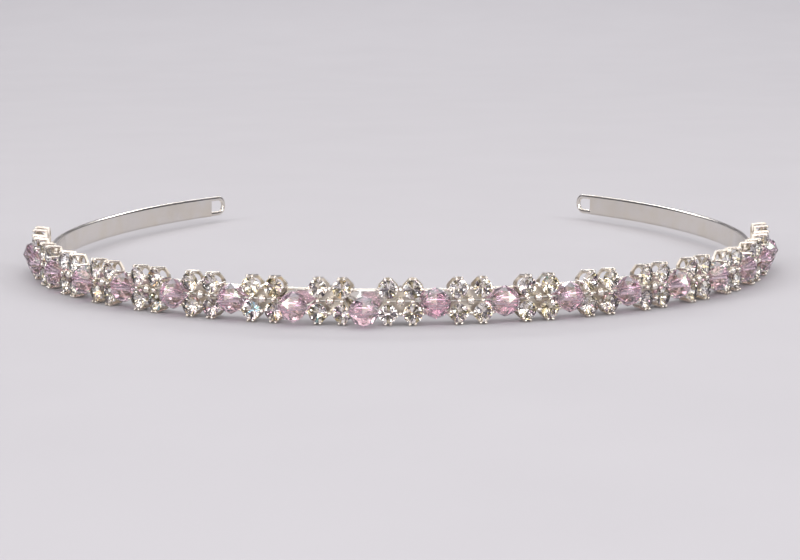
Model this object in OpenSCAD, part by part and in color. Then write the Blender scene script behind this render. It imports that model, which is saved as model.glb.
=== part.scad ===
// Narrow tiara: a polished head band with four-stone clusters and round faceted
// crystals strung in turn round its front. It lies on the claws of its clusters.
// +Z is up, the front faces -Y, and the two ends point towards +Y.

/* [Band] */
// Radius of the band's middle line round the front
crown_r = 64; // [60:1:68]
// Angle that the front arc turns through on each side
crown_angle = 60; // [55:1:64]
// Radius of the closer bend on each side
temple_r = 59; // [54:1:63]
// Angle of the closer bend
temple_angle = 34; // [30:1:37]
// Radius of the long stretch behind each ear
ear_r = 102; // [92:1:112]
// Angle of the long stretch
ear_angle = 35; // [31:1:38]
// Height of the strip
strip_h = 4.2; // [3.6:0.1:4.6]
// Thickness of the strip
strip_t = 1; // [1:0.05:1.15]
// Radius of the strip's rounded edges
strip_edge_r = 0.45; // [0.3:0.05:0.45]
// How much lower the strip lies than the middle of the clusters
strip_drop = 0.55; // [0.3:0.05:0.7]
// Radius of the wire loop's round end, at the middle of its wire
loop_bend_r = 1.6; // [1.2:0.1:1.6]
// Length of the loop's two straight sides beyond the strip
loop_l = 2.4; // [1:0.1:4]
// Radius of the loop's wire
loop_wire_r = 0.45; // [0.35:0.05:0.45]

/* [Clusters] */
// Clusters on each side of the middle one
side_clusters = 9; // [4:1:9]
// Distance from one cluster to the next, along the wire
pitch = 11; // [10.9:0.1:11.4]
// Distance between the middles of two stones in a cluster
stone_pitch = 3.84; // [3.8:0.02:3.9]
// Height of the pierced plate's back out from the middle of the strip
plate_rise = 1.2; // [1:0.05:1.3]
// Thickness of the pierced plate
plate_t = 0.4; // [0.3:0.05:0.5]
// Radius of the foot between the plate and the strip
foot_r = 1.2; // [0.9:0.1:1.4]
// Distance from a stone's middle to the straight edges of its seat
seat_edge = 1.45; // [1.4:0.05:1.5]
// Radius of the hole in the plate behind a stone
hole_r = 1.05; // [0.8:0.05:1.1]
// Radius of a claw
claw_r = 0.19; // [0.16:0.01:0.2]
// Distance from a stone's middle to the root of a claw
claw_root = 1.5; // [1.4:0.05:1.55]
// Angle between the two claws at the top or bottom of a stone
claw_pair_angle = 30; // [24:1:36]
// Radius of the post that two neighbouring stones share
shared_post_r = 0.36; // [0.33:0.01:0.36]
// Radius of the ball in the middle of a cluster
ball_r = 0.7; // [0.55:0.05:0.8]

/* [Stones] */
// Diameter of a clear round stone
stone_d = 3; // [2.8:0.05:3]
// Height of a stone's girdle out from the middle of the strip
girdle_out = 3.4; // [3.35:0.05:3.5]
// Diameter of a stone's table
table_d = 1.64; // [1.5:0.02:1.8]
// Height of the crown
crown_h = 0.45; // [0.4:0.05:0.45]
// Thickness of the girdle
girdle_t = 0.1; // [0.06:0.02:0.12]
// Depth of the pavilion
pavilion_h = 1.25; // [1.1:0.05:1.3]

/* [Rose crystals] */
// Diameter across the middle
crystal_d = 5; // [4.8:0.05:5]
// Length from end to end
crystal_l = 4.5; // [4.2:0.1:4.5]
// Radius of the shoulder between the middle and an end
shoulder_r = 2; // [1.9:0.02:2.02]
// Distance of the shoulder from the middle
shoulder_l = 1.3; // [1.2:0.05:1.35]
// Radius of the flat ends
crystal_end_r = 0.85; // [0.75:0.05:0.9]
// Radius of the hole
crystal_bore_r = 0.5; // [0.45:0.01:0.5]
// Height of the hole out from the middle of the strip
thread_out = 3.1; // [3.1:0.02:3.14]

/* [Wire] */
// Radius of the wire that strings clusters and crystals
wire_r = 0.15; // [0.1:0.01:0.16]

/* [Hidden] */
$fn = 48;
clearance = 0.05;
hang_gap = 0.03;
facets = 8;
half_side = 180 / facets;
wire_sides = 6;

// Soldered seams: length, how proud they stand, and the room left for them where two pieces meet
seam_l = 0.2;
seam_proud = 0.01;
seam_room = 0.02;

// Length of the loop's wire inside the strip
loop_root = 0.6;

// Slack crystals: gap counted from the middle cluster, extra drop, shift outwards
slack = [
    [-2, 0.5, 1.7],
    [-1, 0.9, 2.1],
];

// Route of the wire over half a gap: distance from the cluster's middle, share of the slack
wire_route = [
    [0, 0],
    [2.35, 0],
    [2.65, 0.3],
    [2.95, 0.75],
    [3.2, 1],
    [pitch / 2, 1],
];

claw_reach = stone_d / 2 + clearance + claw_r;
foot_out = strip_t / 2 + 2 * clearance;
plate_middle = plate_rise + plate_t / 2;
seat_corner_r = claw_root + 0.1;
crown_out = girdle_out + girdle_t / 2;
claw_stem_out = crown_out + 0.15;
claw_tip_out = crown_out + 0.25;
claw_slope = (claw_reach - claw_root) / (girdle_out - plate_middle);
claw_stem_reach = claw_root + claw_slope * (claw_stem_out - plate_middle);
shared_post_out = crown_out + 0.2;
ball_out = thread_out + 0.15;
ball_stem_r = ball_r * 0.7;
wire_bore_r = wire_r + 0.1;
claw_tip_r = claw_r + clearance;
hang = crystal_bore_r - wire_r - hang_gap;
last_cluster = side_clusters * pitch;

// Height of the clusters' middle above the surface that their lowest claws rest on
cluster_z = stone_pitch / 2 + claw_stem_reach * cos(claw_pair_angle / 2) + claw_r;
strip_z = cluster_z - strip_drop;

// Arcs of one side of the band, from the front to its end: radius, angle
arcs = [
    [crown_r, crown_angle],
    [temple_r, temple_angle],
    [ear_r, ear_angle],
];
end_heading = crown_angle + temple_angle + ear_angle;

// Heading of the band where arc i starts
function start_heading(i) = i == 0 ? 0 : start_heading(i - 1) + arcs[i - 1][1];

// Step along an arc of radius r between two headings
function arc_step(r, from, to) = r * [sin(to) - sin(from), cos(from) - cos(to)];

// Point of the middle line where arc i starts
function arc_start(i) =
    i == 0
    ? [0, 0]
    : arc_start(i - 1) + arc_step(arcs[i - 1][0], start_heading(i - 1), start_heading(i));

// Heading at a length s along the wire's line
function heading(s, i = 0) =
    let (r = arcs[i][0] + thread_out, length = r * arcs[i][1] * PI / 180)
    s <= length || i == len(arcs) - 1
    ? start_heading(i) + s / r * 180 / PI
    : heading(s - length, i + 1);

function arc_at(h, i = 0) =
    i == len(arcs) - 1 || h <= start_heading(i + 1) ? i : arc_at(h, i + 1);

// Place on the middle line: x, y and heading, at a length s along the wire's line
function station(s) =
    let (
        h = heading(abs(s)),
        i = arc_at(h),
        p = arc_start(i) + arc_step(arcs[i][0], start_heading(i), h),
        side = s < 0 ? -1 : 1
    )
    [side * p[0], p[1], side * h];

// Point that lies out and up from the station at s
function beside(s, out, up) =
    let (p = station(s))
    [p[0] + out * sin(p[2]), p[1] - out * cos(p[2]), up];

// Extra drop and outward shift of gap g, both 0 unless the table names it
function slack_of(g) =
    let (rows = [for (row = slack) if (row[0] == g) row])
    len(rows) == 0 ? [0, 0] : [rows[0][1], rows[0][2]];

// Height of a crystal's middle out from the strip, and how far forward the crystal in gap g comes
function crystal_out(g) = thread_out + slack_of(g)[1];
function crystal_front(g) = beside((g + 0.5) * pitch, crystal_out(g) + crystal_d / 2, 0)[1];

cluster_numbers = [-side_clusters : side_clusters];
gap_numbers = [-side_clusters : side_clusters - 1];

// Foremost and hindmost points of the whole
band_end = arc_start(2) + arc_step(ear_r, start_heading(2), end_heading);
bend_middle = band_end + loop_l * [cos(end_heading), sin(end_heading)];
back_y = bend_middle[1] + loop_bend_r * sin(end_heading) + loop_wire_r;
front_y = min([for (g = gap_numbers) crystal_front(g)]);
middle_y = (front_y + back_y) / 2;

// Name with the place counted from the wearer's right end
function numbered(name, n) = str(name, "_", n + side_clusters + 1);

// Moves the band's front from the origin to its place, so that the origin is in the middle
module in_place() {
    translate([0, -middle_y, 0])
        children();
}

// Turns a shape drawn face-on, with its height towards the viewer, to face out at s
module facing_out(s) {
    p = station(s);
    in_place()
        translate([p[0], p[1], cluster_z])
        rotate([90, 0, p[2]])
        children();
}

module both_sides() {
    children();
    mirror([1, 0, 0])
        children();
}

// Section of the strip with rounded edges, in the middle of the plane
module strip_section(proud = 0) {
    inner_t = strip_t - 2 * strip_edge_r;
    inner_h = strip_h - 2 * strip_edge_r;
    square([inner_t, strip_h + 2 * proud], center = true);
    square([strip_t + 2 * proud, inner_h], center = true);
    for (x = [-1, 1], y = [-1, 1])
        translate([x * inner_t / 2, y * inner_h / 2])
        circle(strip_edge_r + proud);
}

// Strip bent to radius r round the Z axis, from one angle to another, with room for its seams
module bent_strip(r, from, to) {
    trim = seam_room / r * 180 / PI;
    rotate([0, 0, from + trim])
        rotate_extrude(angle = to - from - 2 * trim, $fn = 180)
        translate([r, 0])
        strip_section();
}

// Strip along arc i, which turns about a middle to its left
module band_arc(i) {
    r = arcs[i][0];
    h = start_heading(i);
    middle = arc_start(i) + r * [-sin(h), cos(h)];
    from = i == 0 ? -crown_angle : h;
    translate([middle[0], middle[1], strip_z])
        bent_strip(r, from - 90, h - 90 + arcs[i][1]);
}

// Oval wire loop, upright, soldered into the strip's end
module end_loop() {
    translate([band_end[0], band_end[1], strip_z])
        rotate([90, 0, end_heading]) {
            for (y = [-1, 1])
                translate([0, y * loop_bend_r, 0])
                rotate([0, 90, 0]) {
                    translate([0, 0, -loop_root])
                        cylinder(h = loop_root + loop_l - seam_room, r = loop_wire_r);
                    translate([0, 0, loop_l - seam_l / 2])
                        cylinder(h = seam_l, r = loop_wire_r + seam_proud);
                }
            translate([loop_l, 0, 0])
                rotate([0, 0, -90])
                rotate_extrude(angle = 180)
                translate([loop_bend_r, 0])
                circle(loop_wire_r);
        }
}

// Short seam, a hair proud of the strip, where one bend meets the next
module seam(place, h) {
    translate([place[0], place[1], strip_z])
        rotate([90, 0, h + 90])
        linear_extrude(seam_l, center = true)
        strip_section(seam_proud);
}

module band() {
    color("silver")
        in_place() {
            band_arc(0);
            both_sides() {
                for (i = [1 : len(arcs) - 1]) {
                    band_arc(i);
                    seam(arc_start(i), start_heading(i));
                }
                end_loop();
            }
        }
}

// Round post with a domed top
module post(r, from, to) {
    translate([0, 0, from])
        rotate_extrude()
        intersection() {
            union() {
                square([r, to - from]);
                translate([0, to - from])
                    circle(r);
            }
            square([r, to - from + r]);
        }
}

// Claw that leans outwards from the plate and ends over the girdle, at an angle round the stone
module claw(angle) {
    lean = atan(claw_slope);
    rotate([0, 0, angle]) {
        translate([claw_root, 0, plate_middle])
            rotate([0, lean, 0])
            post(claw_r, 0, (claw_stem_out - plate_middle) / cos(lean));
        translate([claw_reach - 2 * clearance, 0, claw_tip_out])
            sphere(claw_tip_r);
    }
}

module at_stones() {
    for (x = [-1, 1], y = [-1, 1])
        translate([x * stone_pitch / 2, y * stone_pitch / 2, 0])
        mirror([x < 0 ? 1 : 0, 0, 0])
        mirror([0, y < 0 ? 1 : 0, 0])
        children();
}

// Outline of one stone's seat: a diamond with rounded corners
module seat_outline() {
    intersection() {
        rotate([0, 0, 45])
            square(2 * seat_edge, center = true);
        circle(seat_corner_r);
    }
}

// Open back: a four-lobed plate, pierced behind each stone, on a round foot
module pierced_plate() {
    translate([0, 0, plate_rise])
        linear_extrude(plate_t)
        difference() {
            union() {
                square(stone_pitch, center = true);
                at_stones()
                    seat_outline();
            }
            at_stones()
                circle(hole_r);
        }
    translate([0, 0, foot_out])
        cylinder(h = plate_middle - foot_out, r = foot_r);
}

// Posts between neighbouring stones, and the ball in the middle on its stem
module middle_posts() {
    for (a = [0 : 90 : 270])
        rotate([0, 0, a])
        translate([stone_pitch / 2, 0, 0])
        post(shared_post_r, plate_middle, shared_post_out);
    translate([0, 0, plate_middle])
        cylinder(h = thread_out - plate_middle, r = ball_stem_r);
    translate([0, 0, ball_out])
        sphere(ball_r);
}

module setting(n) {
    color("gainsboro")
        facing_out(n * pitch)
        difference() {
            union() {
                pierced_plate();
                middle_posts();
                at_stones() {
                    claw(0);
                    claw(90 - claw_pair_angle / 2);
                    claw(90 + claw_pair_angle / 2);
                }
            }
            translate([0, 0, thread_out])
                rotate([0, 90, 0])
                cylinder(h = stone_pitch * 2, r = wire_bore_r, center = true);
        }
}

// Ring of points round the Z axis
function ring(count, r, z, turn) =
    [for (i = [0 : count - 1]) [r * cos(turn + i * 360 / count), r * sin(turn + i * 360 / count), z]];

// Round stone with its girdle at height 0: table, eight main facets with eight
// between them, girdle and a pavilion that runs to a point
module brilliant() {
    girdle_sides = 2 * facets;
    quarter = half_side / 2;
    top = facets;
    bottom = facets + girdle_sides;
    culet = facets + 2 * girdle_sides;
    points = concat(
        ring(facets, table_d / 2, girdle_t / 2 + crown_h, 0),
        ring(girdle_sides, stone_d / 2, girdle_t / 2, quarter),
        ring(girdle_sides, stone_d / 2, -girdle_t / 2, quarter),
        [[0, 0, -girdle_t / 2 - pavilion_h]]
    );
    table = [[for (i = [facets - 1 : -1 : 0]) i]];
    mains = [for (i = [0 : facets - 1]) [i, (i + 1) % facets, top + 2 * i + 1, top + 2 * i]];
    between = [for (i = [0 : facets - 1])
        [(i + 1) % facets, top + (2 * i + 2) % girdle_sides, top + 2 * i + 1]];
    girdle = [for (i = [0 : girdle_sides - 1])
        let (next = (i + 1) % girdle_sides)
        [top + i, top + next, bottom + next, bottom + i]];
    pavilion = [for (i = [0 : girdle_sides - 1]) [bottom + i, bottom + (i + 1) % girdle_sides, culet]];
    polyhedron(points, concat(table, mains, between, girdle, pavilion));
}

module stones(n) {
    color("white")
        facing_out(n * pitch)
        translate([0, 0, girdle_out])
        at_stones()
        brilliant();
}

// Round crystal cut in five rings of eight corners, with the middle ring turned by half a side
module round_crystal() {
    rings = [
        [crystal_end_r, -crystal_l / 2, half_side],
        [shoulder_r, -shoulder_l, half_side],
        [crystal_d / 2, 0, 0],
        [shoulder_r, shoulder_l, half_side],
        [crystal_end_r, crystal_l / 2, half_side],
    ];
    points = [for (row = rings) for (corner = ring(facets, row[0], row[1], row[2])) corner];
    last = 4 * facets;
    ends = [[for (i = [0 : facets - 1]) i], [for (i = [facets - 1 : -1 : 0]) last + i]];
    slopes = [for (row = [0, 3], i = [0 : facets - 1])
        let (a = row * facets, b = a + facets, next = (i + 1) % facets)
        [a + i, b + i, b + next, a + next]];
    lower = [for (i = [0 : facets - 1])
        let (a = facets, b = 2 * facets, next = (i + 1) % facets)
        for (half = [[a + i, b + i, b + next], [a + i, b + next, a + next]])
            half];
    upper = [for (i = [0 : facets - 1])
        let (a = 2 * facets, b = 3 * facets, next = (i + 1) % facets)
        for (half = [[a + i, b + i, a + next], [b + i, b + next, a + next]])
            half];
    polyhedron(points, concat(ends, slopes, lower, upper));
}

// Crystal in gap g, hanging on the wire by the top of its hole
module crystal(g) {
    color("pink")
        facing_out((g + 0.5) * pitch)
        translate([0, -hang - slack_of(g)[0], crystal_out(g)])
        rotate([0, 90, 0])
        difference() {
            round_crystal();
            cylinder(h = crystal_l * 2, r = crystal_bore_r, center = true);
        }
}

// Tube with a ring of points about each point of a level route
module tube(route, r, sides) {
    last = len(route) - 1;
    points = [for (i = [0 : last])
        let (
            along = route[min(i + 1, last)] - route[max(i - 1, 0)],
            flat = norm([along[0], along[1]]),
            side = [along[1], -along[0], 0] / flat,
            up = cross(side, along / norm(along))
        )
        for (j = [0 : sides - 1])
            route[i] + r * (side * cos(j * 360 / sides) + up * sin(j * 360 / sides))];
    walls = [for (i = [0 : last - 1], j = [0 : sides - 1])
        let (a = i * sides, b = a + sides, next = (j + 1) % sides)
        for (half = [[a + j, a + next, b + j], [a + next, b + next, b + j]])
            half];
    caps = [
        [for (j = [sides - 1 : -1 : 0]) j],
        [for (j = [0 : sides - 1]) last * sides + j],
    ];
    polyhedron(points, concat(walls, caps));
}

// Wire from post to post of the outermost clusters, slack where a crystal is slack
module wire() {
    steps = len(wire_route);
    gaps = [for (g = gap_numbers, i = [0 : 2 * steps - 3])
        let (
            back = i >= steps,
            row = wire_route[back ? 2 * steps - 2 - i : i],
            from_start = back ? pitch - row[0] : row[0],
            extra = slack_of(g) * row[1]
        )
        beside(g * pitch + from_start, thread_out + extra[1], cluster_z - extra[0])];
    stub = last_cluster + wire_route[1][0];
    first = beside(-stub, thread_out, cluster_z);
    final = [
        beside(last_cluster, thread_out, cluster_z),
        beside(stub, thread_out, cluster_z),
    ];
    color("darkgray")
        in_place()
        tube(concat([first], gaps, final), wire_r, wire_sides);
}

band();
wire();
for (n = cluster_numbers) setting(n);
for (n = cluster_numbers) stones(n);
for (n = gap_numbers) crystal(n);
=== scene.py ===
# A narrow tiara: a springy polished head band, with clusters of four clear stones and rose
# crystals strung in turn round its front. It lies on the claws of its clusters, as in the photo.
# The file runs in the order of assembly: band, wire, settings, clear stones, crystals, then
# the surface that it lies on, the lights and the camera. Everything is in metres.
import math
import random

import bmesh
import bpy
from mathutils import Matrix, Vector


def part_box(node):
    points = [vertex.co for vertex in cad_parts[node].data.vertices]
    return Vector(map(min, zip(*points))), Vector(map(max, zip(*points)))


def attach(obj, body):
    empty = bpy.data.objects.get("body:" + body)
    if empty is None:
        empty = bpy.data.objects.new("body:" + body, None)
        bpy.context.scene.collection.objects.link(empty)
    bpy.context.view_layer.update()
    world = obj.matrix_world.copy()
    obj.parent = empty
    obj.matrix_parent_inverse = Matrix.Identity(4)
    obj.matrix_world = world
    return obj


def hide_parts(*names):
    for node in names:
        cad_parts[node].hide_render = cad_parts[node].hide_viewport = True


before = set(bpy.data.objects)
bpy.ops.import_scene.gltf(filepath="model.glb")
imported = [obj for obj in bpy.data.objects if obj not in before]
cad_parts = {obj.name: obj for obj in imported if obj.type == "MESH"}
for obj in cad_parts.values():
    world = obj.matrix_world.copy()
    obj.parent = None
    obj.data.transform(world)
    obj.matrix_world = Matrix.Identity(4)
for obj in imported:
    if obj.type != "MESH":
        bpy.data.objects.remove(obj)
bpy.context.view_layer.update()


# Band
# One strip of springy brass, 4.2 mm high, rolled to a head's outline, with an oval wire loop
# soldered into each end, then polished and plated bright. It keeps the solid's own shape.

mm = 0.001
worn_tone = (0.97, 0.94, 0.87)      # share of the fresh colour that worn plating keeps
wear_scale = 260.0                  # worn patches, fine ones
touch_scale = 120.0                 # patches dulled by fingers, broad ones
mark_scale = 900.0                  # polishing marks
mark_depth = 0.02 * mm


def metal(name, colour, gloss, haze, lines):
    """Plated metal: gloss is its sharpest roughness, haze how much handling dulls it, and
    lines stretches the polishing marks along the piece."""
    made = bpy.data.materials.new(name)
    made.use_nodes = True
    tree = made.node_tree
    shader = tree.nodes["Principled BSDF"]
    shader.inputs["Metallic"].default_value = 1.0
    place = tree.nodes.new("ShaderNodeTexCoord")

    # Tone: the plating is a little warmer where it has worn thin
    wear = tree.nodes.new("ShaderNodeTexNoise")
    wear.inputs["Scale"].default_value = wear_scale
    wear.inputs["Detail"].default_value = 5.0
    tone = tree.nodes.new("ShaderNodeValToRGB")
    tone.color_ramp.elements[0].position = 0.3
    tone.color_ramp.elements[0].color = (*[c * kept for c, kept in zip(colour, worn_tone)], 1)
    tone.color_ramp.elements[1].position = 0.62
    tone.color_ramp.elements[1].color = (*colour, 1)
    tree.links.new(place.outputs["Object"], wear.inputs["Vector"])
    tree.links.new(wear.outputs["Fac"], tone.inputs["Fac"])
    tree.links.new(tone.outputs["Color"], shader.inputs["Base Color"])

    # Gloss: soft patches where fingers have been
    patches = tree.nodes.new("ShaderNodeTexNoise")
    patches.inputs["Scale"].default_value = touch_scale
    patches.inputs["Detail"].default_value = 3.0
    dulling = tree.nodes.new("ShaderNodeMapRange")
    dulling.inputs["From Min"].default_value = 0.35
    dulling.inputs["From Max"].default_value = 0.75
    dulling.inputs["To Min"].default_value = gloss
    dulling.inputs["To Max"].default_value = gloss + haze
    tree.links.new(place.outputs["Object"], patches.inputs["Vector"])
    tree.links.new(patches.outputs["Fac"], dulling.inputs["Value"])
    tree.links.new(dulling.outputs["Result"], shader.inputs["Roughness"])

    # Polishing marks: fine level lines, or a faint cast grain where lines is 1
    stretch = tree.nodes.new("ShaderNodeMapping")
    stretch.inputs["Scale"].default_value = (1.0, 1.0, lines)
    marks = tree.nodes.new("ShaderNodeTexNoise")
    marks.inputs["Scale"].default_value = mark_scale
    marks.inputs["Detail"].default_value = 3.0
    relief = tree.nodes.new("ShaderNodeBump")
    relief.inputs["Strength"].default_value = 0.12
    relief.inputs["Distance"].default_value = mark_depth
    tree.links.new(place.outputs["Object"], stretch.inputs["Vector"])
    tree.links.new(stretch.outputs["Vector"], marks.inputs["Vector"])
    tree.links.new(marks.outputs["Fac"], relief.inputs["Height"])
    tree.links.new(relief.outputs["Normal"], shader.inputs["Normal"])
    return made


def dress(node, material):
    """Gives a solid that keeps its own shape its real finish."""
    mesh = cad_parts[node].data
    mesh.materials.clear()
    mesh.materials.append(material)


band_plating = metal("band_plating", (0.79, 0.76, 0.72), gloss=0.12, haze=0.12, lines=9.0)
dress("band", band_plating)


# Wire
# Bright drawn wire, 0.3 mm thick. It runs from post to post through every setting and
# crystal, and droops where the two slack crystals hang.

drawn_wire = metal("drawn_wire", (0.6, 0.58, 0.56), gloss=0.38, haze=0.14, lines=1.0)
dress("wire", drawn_wire)


# Settings
# A cast piece behind each cluster: a thin pierced plate on a foot, claws that lean out and
# close over each girdle, posts between neighbours and a ball in the middle. What stands in
# front is polished bright, while the plate and the foot stay matt, as they were cast, and
# their colour is darkened as painted shade.

cluster_places = range(1, 20)      # counted from the wearer's right end
back_depth = 1.02 * mm             # from the foot's rear end to just past the plate's front


def middle_of(node):
    corners = [v.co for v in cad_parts[node].data.vertices]
    return sum(corners, Vector()) / len(corners)


def dress_casting(place_no, bright, matt_painted_shade):
    """Bright metal all over a setting, then matt metal with painted shade in its colour on its
    plate and foot.
    """
    node = f"setting_{place_no}"
    dress(node, bright)
    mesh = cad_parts[node].data
    mesh.materials.append(matt_painted_shade)
    outwards = middle_of(f"stones_{place_no}") - middle_of(node)
    outwards.z = 0
    outwards.normalize()
    reach = [v.co.dot(outwards) for v in mesh.vertices]
    plate_front = min(reach) + back_depth
    for face in mesh.polygons:
        # Faces wholly behind the plate's front get the matt metal, darker in colour as painted
        # shade.
        face.material_index = int(all(reach[v] < plate_front for v in face.vertices))


cast_bright = metal("cast_bright", (0.85, 0.8, 0.74), gloss=0.13, haze=0.13, lines=1.0)
# The matt copy is darker than the bright one: painted shade on the plate and foot behind the
# stones.
cast_matt_painted_shade = metal("cast_matt_painted_shade", (0.78, 0.72, 0.65), gloss=0.3, haze=0.16, lines=1.0)
for place_no in cluster_places:
    dress_casting(place_no, cast_bright, cast_matt_painted_shade)


# Clear stones
# Four round brilliants in each cluster: cut glass with a table, kites, stars and halves,
# and a bright foil behind the pavilion, which throws the light back out of the front. Each
# facet of the foil carries a painted glint tone and painted shade.

mains = 8                  # main facets in the crown and in the pavilion
girdle_sides = 2 * mains
eighth = 360 / mains       # degrees from one main facet to the next
girdle_r = 1.5 * mm
table_r = 0.82 * mm
crown_h = 0.45 * mm
girdle_t = 0.1 * mm
pavilion_h = 1.25 * mm
star_share = 0.5           # how far the stars reach from the table to the girdle
half_share = 0.76          # how far the lower halves reach from the girdle to the point
most_tilt = 1.2            # degrees that a stone may sit askew in its claws
first_seed = 100
weld = 0.001 * mm          # corners nearer than this are one corner
decimals = 5               # of a metre, when stones are put in order

# Tones painted on the foil's facets, as the cut glass splits the light: silver and champagne,
# the foil's own; olive and dusk, painted reflections; blue and orange fire, painted fire; with
# how many facets in a hundred show each
foil_and_painted_glint_tones = [
    (0.99, 0.96, 0.95),
    (0.95, 0.89, 0.78),
    (0.6, 0.54, 0.37),
    (0.42, 0.36, 0.4),
    (0.45, 0.8, 0.98),
    (0.98, 0.72, 0.4),
]
foil_and_painted_glint_odds = [48, 22, 18, 10, 1, 1]
darkest_painted_shade = 0.88          # painted shade: the darkest that a facet's own share of light makes its tone
no_painted_glint = (1, 1, 1, 1)


def spoke(radius, degrees, height):
    a = math.radians(degrees)
    return Vector((radius * math.cos(a), radius * math.sin(a), height))


def brilliant(mesh, placed, painted_glints, chance):
    """Adds one full-cut brilliant: its middle in the girdle's plane, its table upwards."""
    top, bottom = girdle_t / 2, -girdle_t / 2
    table_z, point_z = top + crown_h, bottom - pavilion_h
    cos_half = math.cos(math.radians(eighth / 2))
    star_r = table_r * cos_half + star_share * (girdle_r - table_r * cos_half)
    star_z = table_z - (star_r * cos_half - table_r) * crown_h / (girdle_r - table_r)
    low_r = girdle_r * (1 - half_share)
    low_z = point_z + low_r * cos_half * pavilion_h / girdle_r

    def corner(point):
        return mesh.verts.new(placed @ point)

    table = [corner(spoke(table_r, eighth * i, table_z)) for i in range(mains)]
    stars = [corner(spoke(star_r, eighth * (i + 0.5), star_z)) for i in range(mains)]
    upper = [corner(spoke(girdle_r, eighth / 2 * i, top)) for i in range(girdle_sides)]
    lower = [corner(spoke(girdle_r, eighth / 2 * i, bottom)) for i in range(girdle_sides)]
    lows = [corner(spoke(low_r, eighth * (i + 0.5), low_z)) for i in range(mains)]
    point = corner(Vector((0, 0, point_z)))

    front = [table]
    back = []
    for i in range(mains):
        before, here, halfway = i - 1, 2 * i, 2 * i + 1
        after = (2 * i + 2) % girdle_sides
        front.append([table[i], stars[before], upper[here], stars[i]])
        front.append([table[i], stars[i], table[(i + 1) % mains]])
        front.append([stars[i], upper[here], upper[halfway]])
        front.append([stars[i], upper[halfway], upper[after]])
        back.append([point, lows[i], lower[here], lows[before]])
        back.append([lows[i], lower[halfway], lower[here]])
        back.append([lows[i], lower[after], lower[halfway]])
    for i in range(girdle_sides):
        after = (i + 1) % girdle_sides
        front.append([upper[i], lower[i], lower[after], upper[after]])
    for corners in front:
        face = mesh.faces.new(corners)
        face.material_index = 0
        for loop in face.loops:
            loop[painted_glints] = no_painted_glint
    for corners in back:
        face = mesh.faces.new(corners)
        face.material_index = 1
        # Each pavilion facet gets a painted glint tone and a random painted shade.
        colour = chance.choices(foil_and_painted_glint_tones, foil_and_painted_glint_odds)[0]
        painted_shade = chance.uniform(darkest_painted_shade, 1.0)
        for loop in face.loops:
            loop[painted_glints] = (*[c * painted_shade for c in colour], 1)


def seats(node):
    """Where each loose stone of a node sits: the middle of its girdle, turned to face out."""
    solid = bmesh.new()
    solid.from_mesh(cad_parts[node].data)
    bmesh.ops.remove_doubles(solid, verts=solid.verts, dist=weld)
    seen = set()
    found = []
    for first in solid.verts:
        if first in seen:
            continue
        seen.add(first)
        loose = [first]
        for vert in loose:
            for edge in vert.link_edges:
                other = edge.other_vert(vert)
                if other not in seen:
                    seen.add(other)
                    loose.append(other)
        tip = max(loose, key=lambda v: len(v.link_edges))
        rest = [v.co for v in loose if v is not tip]
        out = (sum(rest, Vector()) / len(rest) - tip.co).normalized()
        middle = tip.co + out * (pavilion_h + girdle_t / 2)
        found.append(Matrix.Translation(middle) @ out.to_track_quat("Z", "Y").to_matrix().to_4x4())
    solid.free()
    return sorted(found, key=lambda m: [round(m.translation[axis], decimals) for axis in (2, 0)])


def clear_glass():
    made = bpy.data.materials.new("clear_glass")
    made.use_nodes = True
    tree = made.node_tree
    shader = tree.nodes["Principled BSDF"]
    shader.inputs["Transmission Weight"].default_value = 1.0
    shader.inputs["Roughness"].default_value = 0.0
    shader.inputs["IOR"].default_value = 1.62
    # Hardly seen: faint clouding from handling
    place = tree.nodes.new("ShaderNodeTexCoord")
    cloud = tree.nodes.new("ShaderNodeTexNoise")
    cloud.inputs["Scale"].default_value = 700.0
    tone = tree.nodes.new("ShaderNodeValToRGB")
    tone.color_ramp.elements[0].color = (0.97, 0.975, 0.97, 1)
    tone.color_ramp.elements[1].color = (1, 1, 1, 1)
    tree.links.new(place.outputs["Object"], cloud.inputs["Vector"])
    tree.links.new(cloud.outputs["Fac"], tone.inputs["Fac"])
    tree.links.new(tone.outputs["Color"], shader.inputs["Base Color"])
    return made


def stone_foil_painted_glints():
    made = bpy.data.materials.new("stone_foil_painted_glints")
    made.use_nodes = True
    tree = made.node_tree
    shader = tree.nodes["Principled BSDF"]
    shader.inputs["Metallic"].default_value = 1.0
    shader.inputs["Roughness"].default_value = 0.04
    # The foil's colour is the painted glints and painted shade stored on each facet.
    painted_glint = tree.nodes.new("ShaderNodeVertexColor")
    painted_glint.layer_name = "painted_glint"
    tree.links.new(painted_glint.outputs["Color"], shader.inputs["Base Color"])
    return made


glass, painted_glint_foil = clear_glass(), stone_foil_painted_glints()
for place_no in cluster_places:
    node = f"stones_{place_no}"
    chance = random.Random(first_seed + place_no)
    mesh = bmesh.new()
    painted_glints = mesh.loops.layers.float_color.new("painted_glint")
    for seat in seats(node):
        askew = Matrix.Rotation(math.radians(chance.uniform(-most_tilt, most_tilt)), 4, "X")
        askew = Matrix.Rotation(math.radians(chance.uniform(-most_tilt, most_tilt)), 4, "Y") @ askew
        turned = Matrix.Rotation(math.radians(chance.uniform(0, eighth)), 4, "Z")
        brilliant(mesh, seat @ askew @ turned, painted_glints, chance)
    data = bpy.data.meshes.new(f"brilliants_{place_no}")
    bmesh.ops.recalc_face_normals(mesh, faces=mesh.faces)
    mesh.to_mesh(data)
    mesh.free()
    data.materials.append(glass)
    data.materials.append(painted_glint_foil)
    stones = bpy.data.objects.new(f"brilliants_{place_no}", data)
    bpy.context.scene.collection.objects.link(stones)
    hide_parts(node)
    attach(stones, "root")


# Rose crystals
# A round faceted crystal of rose glass between each two clusters, drilled from end to end
# and strung on the wire. It keeps the solid's facets; the drilled hole is left ground.

crystal_places = range(1, 19)      # counted from the wearer's right end
hole_reach = 2.34 * mm             # only the corners of the hole lie this near the crystal's middle
lustre_nm = 410.0                  # thickness of the lustre in nanometres
lustre_ior = 1.72


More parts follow.
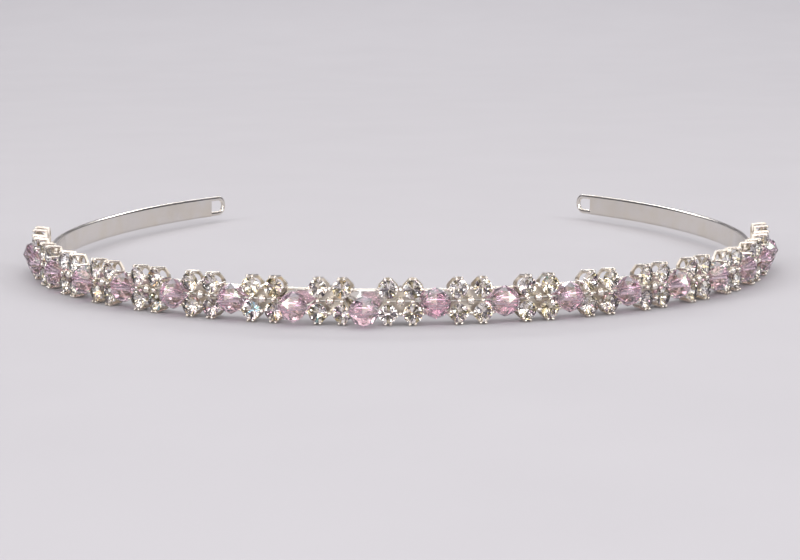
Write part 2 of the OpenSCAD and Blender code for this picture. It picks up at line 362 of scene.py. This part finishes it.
def rose_glass(name, roughness, gloss, pale, deep):
    """Rose glass under a lustre thinner than a hair, which tints its gleams lilac. Its tone
    drifts between pale and deep, and gloss says how much of the surface is fire-polished."""
    made = bpy.data.materials.new(name)
    made.use_nodes = True
    tree = made.node_tree
    shader = tree.nodes["Principled BSDF"]
    shader.inputs["Transmission Weight"].default_value = 1.0
    shader.inputs["Roughness"].default_value = roughness
    shader.inputs["IOR"].default_value = 1.6
    shader.inputs["Coat Weight"].default_value = gloss
    shader.inputs["Coat Roughness"].default_value = 0.0
    shader.inputs["Thin Film Thickness"].default_value = lustre_nm
    shader.inputs["Thin Film IOR"].default_value = lustre_ior
    place = tree.nodes.new("ShaderNodeTexCoord")
    cloud = tree.nodes.new("ShaderNodeTexNoise")
    cloud.inputs["Scale"].default_value = 300.0
    tone = tree.nodes.new("ShaderNodeValToRGB")
    tone.color_ramp.elements[0].position = 0.35
    tone.color_ramp.elements[0].color = (*deep, 1)
    tone.color_ramp.elements[1].position = 0.65
    tone.color_ramp.elements[1].color = (*pale, 1)
    tree.links.new(place.outputs["Object"], cloud.inputs["Vector"])
    tree.links.new(cloud.outputs["Fac"], tone.inputs["Fac"])
    tree.links.new(tone.outputs["Color"], shader.inputs["Base Color"])
    return made


def cut_crystal(node, name):
    """The solid's own facets, with the wall of the hole told apart from the polished faces."""
    cut = bmesh.new()
    cut.from_mesh(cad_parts[node].data)
    bmesh.ops.remove_doubles(cut, verts=cut.verts, dist=weld)
    low, high = (Vector(corner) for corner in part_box(node))
    middle = (low + high) / 2
    hole = {v for v in cut.verts if (v.co - middle).length < hole_reach}
    for face in cut.faces:
        face.material_index = int(all(v in hole for v in face.verts))
    data = bpy.data.meshes.new(name)
    cut.to_mesh(data)
    cut.free()
    return data


rose, deep_rose = (1.0, 0.77, 0.9), (0.99, 0.68, 0.83)
frost, deep_frost = (1.0, 0.97, 0.98), (0.99, 0.93, 0.96)
polished = rose_glass("rose_glass", roughness=0.1, gloss=1.0, pale=rose, deep=deep_rose)
ground = rose_glass("ground_hole", roughness=0.2, gloss=0.0, pale=frost, deep=deep_frost)
for place_no in crystal_places:
    node, name = f"crystal_{place_no}", f"rose_crystal_{place_no}"
    data = cut_crystal(node, name)
    data.materials.append(polished)
    data.materials.append(ground)
    crystal = bpy.data.objects.new(name, data)
    bpy.context.scene.collection.objects.link(crystal)
    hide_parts(node)
    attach(crystal, "root")


# The surface that it lies on
# A plain pale sheet, level under the tiara and swept up far behind it.

front_edge = -1.6
bend_start = 0.5
bend_r = 1.8
bend_steps = 32
top_edge = 3.0
half_width = 3.0


def pale_sweep():
    turns = [i * math.pi / (2 * bend_steps) for i in range(1, bend_steps + 1)]
    outline = [(front_edge, 0.0), (bend_start, 0.0)]
    outline += [(bend_start + bend_r * math.sin(a), bend_r - bend_r * math.cos(a)) for a in turns]
    outline += [(bend_start + bend_r, top_edge)]
    mesh = bmesh.new()
    rows = [[mesh.verts.new((x, y, z)) for x in (-half_width, half_width)] for y, z in outline]
    for a, b in zip(rows, rows[1:]):
        face = mesh.faces.new((a[0], a[1], b[1], b[0]))
        face.smooth = True
    data = bpy.data.meshes.new("pale_sweep")
    mesh.to_mesh(data)
    mesh.free()
    made = bpy.data.materials.new("pale_card")
    made.use_nodes = True
    tree = made.node_tree
    shader = tree.nodes["Principled BSDF"]
    shader.inputs["Roughness"].default_value = 0.75
    fibre = tree.nodes.new("ShaderNodeTexNoise")
    fibre.inputs["Scale"].default_value = 30.0
    tone = tree.nodes.new("ShaderNodeValToRGB")
    tone.color_ramp.elements[0].color = (0.495, 0.485, 0.51, 1)
    tone.color_ramp.elements[1].color = (0.525, 0.515, 0.54, 1)
    place = tree.nodes.new("ShaderNodeTexCoord")
    tree.links.new(place.outputs["Object"], fibre.inputs["Vector"])
    tree.links.new(fibre.outputs["Fac"], tone.inputs["Fac"])
    tree.links.new(tone.outputs["Color"], shader.inputs["Base Color"])
    data.materials.append(made)
    sweep = bpy.data.objects.new("pale_sweep", data)
    bpy.context.scene.collection.objects.link(sweep)
    return sweep


pale_sweep()


# Lights
# A broad soft box above and a long one over the camera, one to each side, two low strips
# that the stones and crystals catch, and one behind. The room between them stays dim.

aim = (0, 0, 4 * mm)
white = (1, 1, 1)
warm = (1.0, 0.965, 0.95)


def soft_box(name, at, size, power, colour):
    data = bpy.data.lights.new(name, "AREA")
    data.shape = "RECTANGLE"
    data.size, data.size_y = size
    data.energy = power
    data.color = colour
    lamp = bpy.data.objects.new(name, data)
    lamp.location = at
    lamp.rotation_mode = "QUATERNION"
    lamp.rotation_quaternion = (Vector(at) - Vector(aim)).to_track_quat("Z", "Y")
    bpy.context.scene.collection.objects.link(lamp)


soft_box("top_box", at=(0.0, 0.15, 1.1), size=(1.8, 1.4), power=11.8, colour=warm)
soft_box("front_box", at=(0.0, -1.15, 0.8), size=(1.5, 0.6), power=6.9, colour=warm)
soft_box("left_box", at=(-0.85, -0.6, 0.5), size=(0.3, 0.6), power=4.5, colour=white)
soft_box("right_box", at=(0.9, -0.4, 0.5), size=(0.3, 0.6), power=4, colour=white)
soft_box("low_left", at=(-0.3, -0.95, 0.2), size=(0.08, 0.25), power=1.2, colour=white)
soft_box("low_right", at=(0.35, -0.9, 0.16), size=(0.08, 0.2), power=1.1, colour=white)
soft_box("back_strip", at=(0.0, 0.9, 0.5), size=(1.0, 0.12), power=2.5, colour=white)

room = bpy.data.worlds.new("studio")
room.use_nodes = True
dim_walls = room.node_tree.nodes["Background"]
dim_walls.inputs["Color"].default_value = (0.62, 0.6, 0.7, 1)
dim_walls.inputs["Strength"].default_value = 0.22
bpy.context.scene.world = room
bpy.context.scene.view_settings.view_transform = "Standard"


# Camera
# Low in front of the tiara and a little above it, with the photo's long lens.

look_down = 9.02      # degrees
look_aside = 0.1
lean = -0.33

lens = bpy.data.cameras.new("camera")
lens.sensor_width = 36.0
lens.lens = 96.0
camera = bpy.data.objects.new("camera", lens)
camera.location = (0.53 * mm, -388.96 * mm, 59.02 * mm)
camera.rotation_mode = "QUATERNION"
aside = Matrix.Rotation(math.radians(look_aside), 4, "Z")
down = Matrix.Rotation(math.radians(90 - look_down), 4, "X")
roll = Matrix.Rotation(math.radians(lean), 4, "Z")
camera.rotation_quaternion = (aside @ down @ roll).to_quaternion()
lens.clip_start = 0.01
lens.clip_end = 20.0
bpy.context.scene.collection.objects.link(camera)
bpy.context.scene.camera = camera
